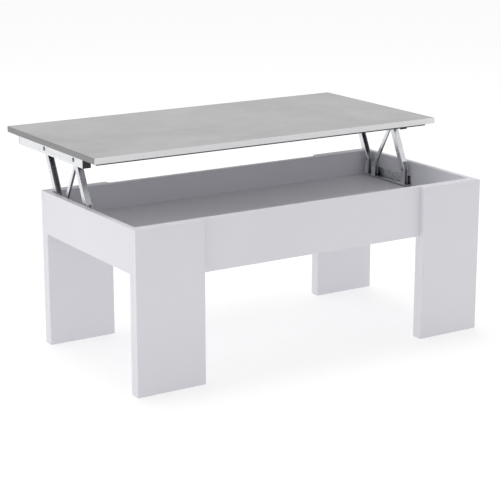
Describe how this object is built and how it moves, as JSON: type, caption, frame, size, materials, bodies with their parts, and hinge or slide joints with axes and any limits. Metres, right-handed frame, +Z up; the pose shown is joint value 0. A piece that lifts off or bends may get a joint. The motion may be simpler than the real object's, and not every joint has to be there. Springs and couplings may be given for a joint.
{
  "type": "lift-top coffee table",
  "caption": "Rectangular coffee table with flat panel legs, a shallow storage tray and a top that swings up and over the back on parallel arms with telescopic stays.",
  "frame": {"origin": "on the floor, under the middle of the whole table with its top raised and shifted back", "axes": "+X to the right along the table, +Y to the back (the way the top swings as it rises), +Z up"},
  "size_m": [1.02, 0.6952, 0.5404],
  "materials": {
    "white_melamine": "white melamine-faced board, fine satin",
    "batten_wood": "planed softwood",
    "beech": "fluted beech",
    "zinc_fixings": "zinc-plated",
    "glide_plastic": "moulded, matte",
    "mechanism_steel": "light grey powder coat, satin",
    "bush_plastic": "moulded nylon",
    "pivot_steel": "zinc-plated, machined",
    "concrete_decor": "printed concrete-grey melamine on board, matte",
    "edge_band_grey": "grey ABS edge band, matte",
    "dark_strip": "dark grey, matte",
    "black_plastic": "moulded, matte",
    "stay_bar_steel": "drawn steel, oiled dark"
  },
  "bodies": {
    "base": {"front_left_leg_panel": "white_melamine", "front_left_leg_doubler": "white_melamine", "front_right_leg_panel": "white_melamine", "front_right_leg_doubler": "white_melamine", "back_left_leg_panel": "white_melamine", "back_left_leg_doubler": "white_melamine", "back_right_leg_panel": "white_melamine", "back_right_leg_doubler": "white_melamine", "front_apron": "white_melamine", "back_apron": "white_melamine", "left_end_panel": "white_melamine", "right_end_panel": "white_melamine", "tray_floor": "white_melamine", "front_floor_cleat": "batten_wood", "back_floor_cleat": "batten_wood", "dowels": "beech", "cam_bolts": "zinc_fixings", "cam_locks": "zinc_fixings", "leg_screws": "zinc_fixings", "cleat_screws": "zinc_fixings", "leg_glides": "glide_plastic", "left_base_bracket": "mechanism_steel", "right_base_bracket": "mechanism_steel", "bracket_screws": "zinc_fixings", "base_pivot_rivets": "pivot_steel", "stay_base_pins": "pivot_steel"},
    "lid": {"lid_board": "concrete_decor", "lid_front_edge_band": "edge_band_grey", "lid_back_edge_band": "edge_band_grey", "lid_left_edge_band": "edge_band_grey", "lid_right_edge_band": "edge_band_grey", "front_rest_strip": "dark_strip", "back_rest_strip": "dark_strip", "left_lid_rail": "mechanism_steel", "right_lid_rail": "mechanism_steel", "rail_screws": "zinc_fixings", "rail_end_caps": "black_plastic", "lid_pivot_bolts": "pivot_steel", "lid_pivot_nuts": "pivot_steel", "lid_pivot_spacers": "bush_plastic"},
    "front_left_arm_body": {"front_left_arm": "mechanism_steel", "front_left_arm_bushes": "bush_plastic"},
    "rear_left_arm_body": {"rear_left_arm": "mechanism_steel", "rear_left_arm_bushes": "bush_plastic"},
    "front_right_arm_body": {"front_right_arm": "mechanism_steel", "front_right_arm_bushes": "bush_plastic"},
    "rear_right_arm_body": {"rear_right_arm": "mechanism_steel", "rear_right_arm_bushes": "bush_plastic"},
    "left_stay_sleeve_body": {"left_stay_sleeve": "mechanism_steel", "left_stay_collar": "black_plastic", "left_stay_base_eye": "pivot_steel"},
    "left_stay_bar_body": {"left_stay_bar": "stay_bar_steel", "left_stay_bar_bush": "bush_plastic"},
    "right_stay_sleeve_body": {"right_stay_sleeve": "mechanism_steel", "right_stay_collar": "black_plastic", "right_stay_base_eye": "pivot_steel"},
    "right_stay_bar_body": {"right_stay_bar": "stay_bar_steel", "right_stay_bar_bush": "bush_plastic"}
  },
  "joints": [
    {"name": "lift", "type": "hinge", "parent": "base", "child": "front_left_arm_body", "pos_m": [-0.482, -0.06257, 0.38765], "axis": [1, 0, 0], "range_deg": [0, 111]},
    {"name": "lid_stays_level", "type": "hinge", "parent": "front_left_arm_body", "child": "lid", "pos_m": [-0.482, -0.00295, 0.50988], "axis": [1, 0, 0], "range_deg": [-111, 0]},
    {"name": "rear_left_arm_swing", "type": "hinge", "parent": "base", "child": "rear_left_arm_body", "pos_m": [-0.482, 0.10343, 0.38765], "axis": [1, 0, 0], "range_deg": [0, 111]},
    {"name": "front_right_arm_swing", "type": "hinge", "parent": "base", "child": "front_right_arm_body", "pos_m": [0.482, -0.06257, 0.38765], "axis": [1, 0, 0], "range_deg": [0, 111]},
    {"name": "rear_right_arm_swing", "type": "hinge", "parent": "base", "child": "rear_right_arm_body", "pos_m": [0.482, 0.10343, 0.38765], "axis": [1, 0, 0], "range_deg": [0, 111]},
    {"name": "left_stay_sleeve_swing", "type": "hinge", "parent": "base", "child": "left_stay_sleeve_body", "pos_m": [-0.482, 0.07291, 0.37579], "axis": [1, 0, 0], "range_deg": [0, 55.5]},
    {"name": "left_stay_bar_swing", "type": "hinge", "parent": "lid", "child": "left_stay_bar_body", "pos_m": [-0.482, -0.00295, 0.50988], "axis": [1, 0, 0], "range_deg": [0, 55.5]},
    {"name": "right_stay_sleeve_swing", "type": "hinge", "parent": "base", "child": "right_stay_sleeve_body", "pos_m": [0.482, 0.07291, 0.37579], "axis": [1, 0, 0], "range_deg": [0, 55.5]},
    {"name": "right_stay_bar_swing", "type": "hinge", "parent": "lid", "child": "right_stay_bar_body", "pos_m": [0.482, -0.00295, 0.50988], "axis": [1, 0, 0], "range_deg": [0, 55.5]}
  ],
  "couplings": [
    {"joint": "lid_stays_level", "follows": "lift", "ratio": -1},
    {"joint": "rear_left_arm_swing", "follows": "lift", "ratio": 1},
    {"joint": "front_right_arm_swing", "follows": "lift", "ratio": 1},
    {"joint": "rear_right_arm_swing", "follows": "lift", "ratio": 1},
    {"joint": "left_stay_sleeve_swing", "follows": "lift", "ratio": 0.5},
    {"joint": "left_stay_bar_swing", "follows": "lift", "ratio": 0.5},
    {"joint": "right_stay_sleeve_swing", "follows": "lift", "ratio": 0.5},
    {"joint": "right_stay_bar_swing", "follows": "lift", "ratio": 0.5}
  ]
}
